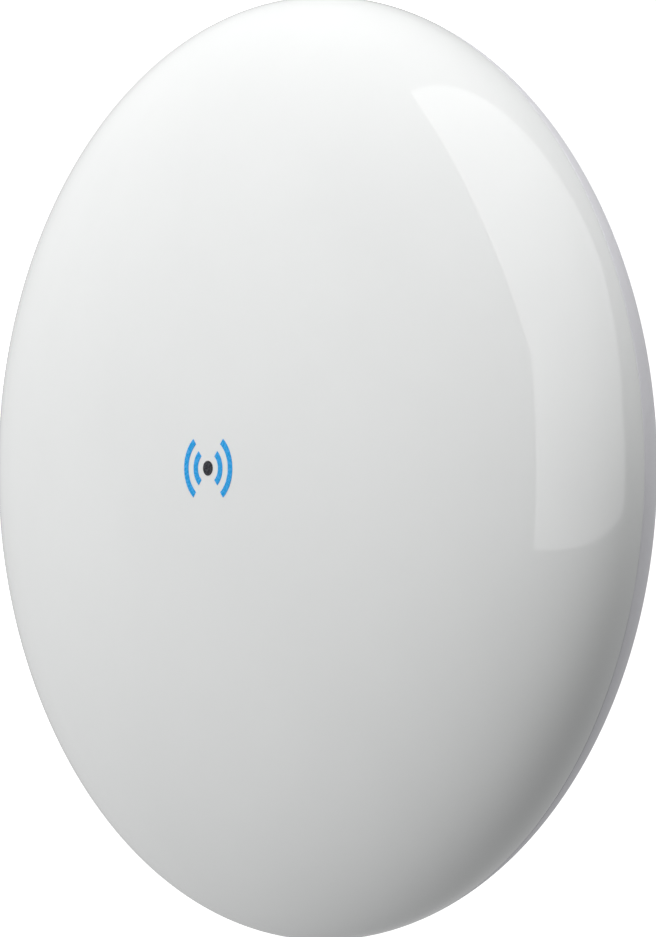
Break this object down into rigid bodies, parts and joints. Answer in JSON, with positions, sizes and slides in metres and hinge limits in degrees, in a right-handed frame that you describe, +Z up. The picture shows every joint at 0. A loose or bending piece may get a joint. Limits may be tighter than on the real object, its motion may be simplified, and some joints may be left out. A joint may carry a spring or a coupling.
{
  "type": "outdoor wireless bridge antenna",
  "caption": "Round glossy domed radome over a small dish, with a rear bowl, cable bay, ball joint and pole bracket.",
  "frame": {"origin": "middle of the pole bracket's pole side, in the plane of its two flat lands", "axes": "+Z up along the pole, +Y towards the pole, so the dome faces -Y; +X is to the right of someone who looks along +Y at the dome"},
  "size_m": [0.189, 0.0986, 0.189],
  "materials": {
    "radome": "smooth high-gloss moulded white",
    "radome_seal": "matt black moulded rubber",
    "rear_shell": "fine satin moulded white",
    "vent_plug": "fine textured grey, glass-filled",
    "main_reflector": "spun, faint turning lines",
    "feed_horn": "turned, lightly dulled",
    "feed_support": "natural moulded plastic",
    "sub_reflector": "spun, faint turning lines",
    "feed_probe": "turned, lightly dulled",
    "radio_board": "solder-masked glass-epoxy laminate",
    "shield_can": "folded tinned sheet",
    "processor_chip": "moulded epoxy",
    "memory_chip": "moulded epoxy",
    "line_transformer": "moulded epoxy",
    "reset_switch": "moulded epoxy",
    "capacitor_1": "moulded epoxy",
    "capacitor_2": "moulded epoxy",
    "ethernet_jack": "folded tinned sheet",
    "port_cover": "fine satin moulded white",
    "cable_grommet": "matt black moulded rubber",
    "reset_button": "fine textured grey, glass-filled",
    "socket_collar": "fine textured grey, glass-filled",
    "collar_gasket": "matt black moulded rubber",
    "ball_liner_inner": "natural moulded plastic",
    "ball_liner_outer": "natural moulded plastic",
    "clamp_ring": "fine textured grey, glass-filled",
    "lock_nut": "fine satin moulded white",
    "ball_stud": "bright zinc plate",
    "pole_bracket": "fine textured grey, glass-filled",
    "stud_washer": "bright zinc plate",
    "stud_nut": "bright zinc plate",
    "light_pipe_1": "clear moulded, polished ends",
    "reflector_screw_1": "bright zinc plate",
    "light_pipe_2": "clear moulded, polished ends",
    "reflector_screw_2": "bright zinc plate",
    "light_pipe_3": "clear moulded, polished ends",
    "reflector_screw_3": "bright zinc plate",
    "light_pipe_4": "clear moulded, polished ends",
    "reflector_screw_4": "bright zinc plate",
    "light_pipe_5": "clear moulded, polished ends",
    "reflector_screw_5": "bright zinc plate",
    "light_pipe_6": "clear moulded, polished ends",
    "reflector_screw_6": "bright zinc plate",
    "board_screw_1": "bright zinc plate",
    "collar_screw_1": "bright zinc plate",
    "board_screw_2": "bright zinc plate",
    "collar_screw_2": "bright zinc plate",
    "board_screw_3": "bright zinc plate",
    "collar_screw_3": "bright zinc plate",
    "board_screw_4": "bright zinc plate",
    "collar_screw_4": "bright zinc plate"
  },
  "bodies": {
    "bracket": {"pole_bracket": "pole_bracket", "ball_stud": "ball_stud", "stud_washer": "stud_washer", "stud_nut": "stud_nut"},
    "inner_liner": {"ball_liner_inner": "ball_liner_inner"},
    "outer_liner": {"ball_liner_outer": "ball_liner_outer"},
    "head": {"radome": "radome", "radome_seal": "radome_seal", "rear_shell": "rear_shell", "vent_plug": "vent_plug", "main_reflector": "main_reflector", "feed_horn": "feed_horn", "feed_support": "feed_support", "sub_reflector": "sub_reflector", "feed_probe": "feed_probe", "radio_board": "radio_board", "shield_can": "shield_can", "processor_chip": "processor_chip", "memory_chip": "memory_chip", "line_transformer": "line_transformer", "reset_switch": "reset_switch", "capacitor_1": "capacitor_1", "capacitor_2": "capacitor_2", "ethernet_jack": "ethernet_jack", "socket_collar": "socket_collar", "collar_gasket": "collar_gasket", "light_pipe_1": "light_pipe_1", "reflector_screw_1": "reflector_screw_1", "light_pipe_2": "light_pipe_2", "reflector_screw_2": "reflector_screw_2", "light_pipe_3": "light_pipe_3", "reflector_screw_3": "reflector_screw_3", "light_pipe_4": "light_pipe_4", "reflector_screw_4": "reflector_screw_4", "light_pipe_5": "light_pipe_5", "reflector_screw_5": "reflector_screw_5", "light_pipe_6": "light_pipe_6", "reflector_screw_6": "reflector_screw_6", "board_screw_1": "board_screw_1", "collar_screw_1": "collar_screw_1", "board_screw_2": "board_screw_2", "collar_screw_2": "collar_screw_2", "board_screw_3": "board_screw_3", "collar_screw_3": "collar_screw_3", "board_screw_4": "board_screw_4", "collar_screw_4": "collar_screw_4"},
    "clamp_ring": {"clamp_ring": "clamp_ring"},
    "lock_nut": {"lock_nut": "lock_nut"},
    "port_cover": {"port_cover": "port_cover", "cable_grommet": "cable_grommet"},
    "reset_button": {"reset_button": "reset_button"}
  },
  "joints": [
    {"name": "pan", "type": "hinge", "parent": "bracket", "child": "inner_liner", "pos_m": [0, -0.03458, 0], "axis": [0, 0, 1], "range_deg": [-20, 20]},
    {"name": "tilt", "type": "hinge", "parent": "inner_liner", "child": "outer_liner", "pos_m": [0, -0.03458, 0], "axis": [1, 0, 0], "range_deg": [-20, 20]},
    {"name": "roll", "type": "hinge", "parent": "outer_liner", "child": "head", "pos_m": [0, -0.03458, 0], "axis": [0, 1, 0], "range_deg": [-180, 180]},
    {"name": "nut_spin", "type": "hinge", "parent": "clamp_ring", "child": "lock_nut", "pos_m": [0, -0.03458, 0], "axis": [0, 1, 0], "range_deg": [0, 360]},
    {"name": "clamp_slide", "type": "slide", "parent": "head", "child": "clamp_ring", "axis": [0, 1, 0], "range_m": [0, 0.002]},
    {"name": "port_cover_slide", "type": "slide", "parent": "head", "child": "port_cover", "axis": [0, 0, -1], "range_m": [0, 0.03]},
    {"name": "reset_press", "type": "slide", "parent": "head", "child": "reset_button", "axis": [0, 0, 1], "range_m": [0, 0.0006], "stiffness_N_per_m": 900, "springref_m": -0.0004}
  ],
  "couplings": [
    {"joint": "clamp_slide", "follows": "nut_spin", "m_per_rad": 0.00031831}
  ]
}
